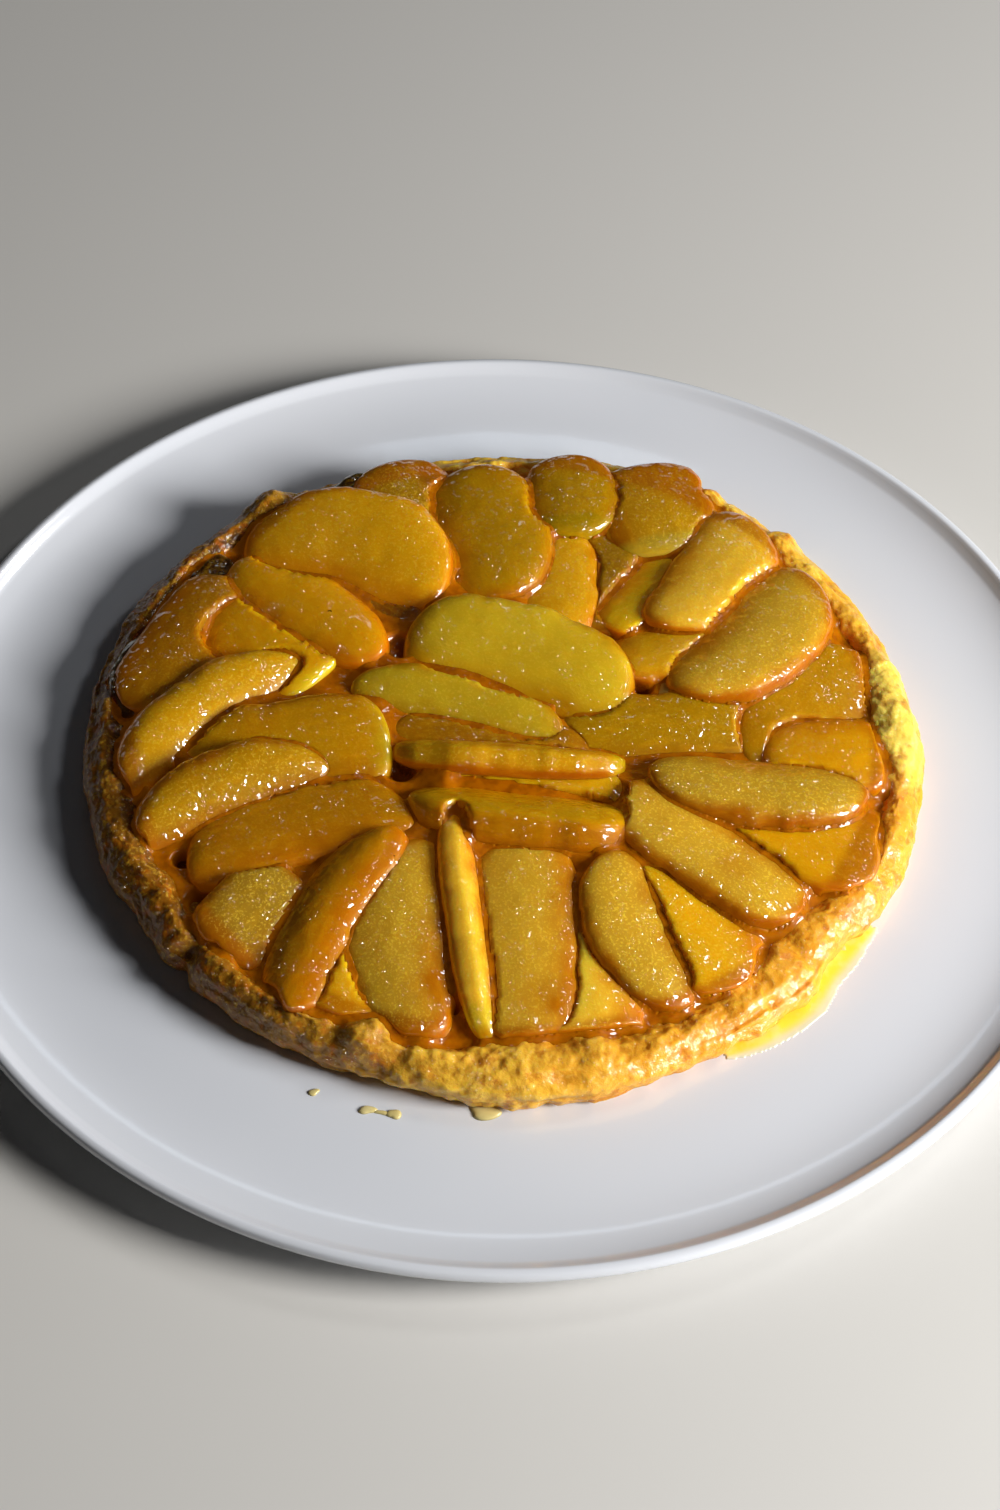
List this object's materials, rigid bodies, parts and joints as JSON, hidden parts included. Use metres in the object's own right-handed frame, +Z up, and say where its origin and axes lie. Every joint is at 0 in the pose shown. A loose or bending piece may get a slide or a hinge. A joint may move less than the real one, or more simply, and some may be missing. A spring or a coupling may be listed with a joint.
{
  "type": "tarte tatin on a plate",
  "caption": "Caramelised upside-down fruit tart with fanned glossy slices on a round pastry base with a raised rim, on a shallow white plate.",
  "frame": {"origin": "centre of the plate, on the surface that its foot ring stands on", "axes": "+Z up out of the plate; -Y towards the side that is seen first, +X to the right from there"},
  "size_m": [0.349, 0.349, 0.0328],
  "materials": {
    "plate_glaze": "gloss",
    "pastry": "satin",
    "cooked_fruit": "gloss",
    "caramel": "gloss"
  },
  "bodies": {
    "root": {"plate": "plate_glaze", "pastry": "pastry", "apple_slice_front_5": "cooked_fruit", "apple_slice_left_4": "cooked_fruit", "apple_slice_left_2": "cooked_fruit", "apple_slice_left_3": "cooked_fruit", "apple_slice_centre_1": "cooked_fruit", "apple_slice_centre_4": "cooked_fruit", "apple_slice_centre_6": "cooked_fruit", "apple_slice_centre_2": "cooked_fruit", "apple_slice_centre_3": "cooked_fruit", "apple_slice_centre_5": "cooked_fruit", "apple_slice_front_8": "cooked_fruit", "apple_slice_front_2": "cooked_fruit", "apple_slice_right_3": "cooked_fruit", "apple_slice_right_1": "cooked_fruit", "apple_slice_back_8": "cooked_fruit", "apple_slice_left_back_1": "cooked_fruit", "apple_slice_left_back_2": "cooked_fruit", "apple_slice_right_5": "cooked_fruit", "apple_slice_back_4": "cooked_fruit", "apple_slice_front_4": "cooked_fruit", "apple_slice_left_5": "cooked_fruit", "apple_slice_right_7": "cooked_fruit", "apple_slice_right_2": "cooked_fruit", "apple_slice_front_6": "cooked_fruit", "apple_slice_back_7": "cooked_fruit", "apple_slice_right_4": "cooked_fruit", "apple_slice_back_2": "cooked_fruit", "apple_slice_front_9": "cooked_fruit", "apple_slice_front_7": "cooked_fruit", "apple_slice_back_9": "cooked_fruit", "apple_slice_left_back_3": "cooked_fruit", "apple_slice_back_6": "cooked_fruit", "apple_slice_back_3": "cooked_fruit", "apple_slice_back_5": "cooked_fruit", "apple_slice_right_6": "cooked_fruit", "apple_slice_back_1": "cooked_fruit", "apple_slice_left_back_4": "cooked_fruit", "apple_slice_left_1": "cooked_fruit", "apple_slice_front_3": "cooked_fruit", "apple_slice_front_1": "cooked_fruit", "apple_slice_left_back_5": "cooked_fruit", "apple_slice_left_0": "cooked_fruit"}
  },
  "joints": []
}
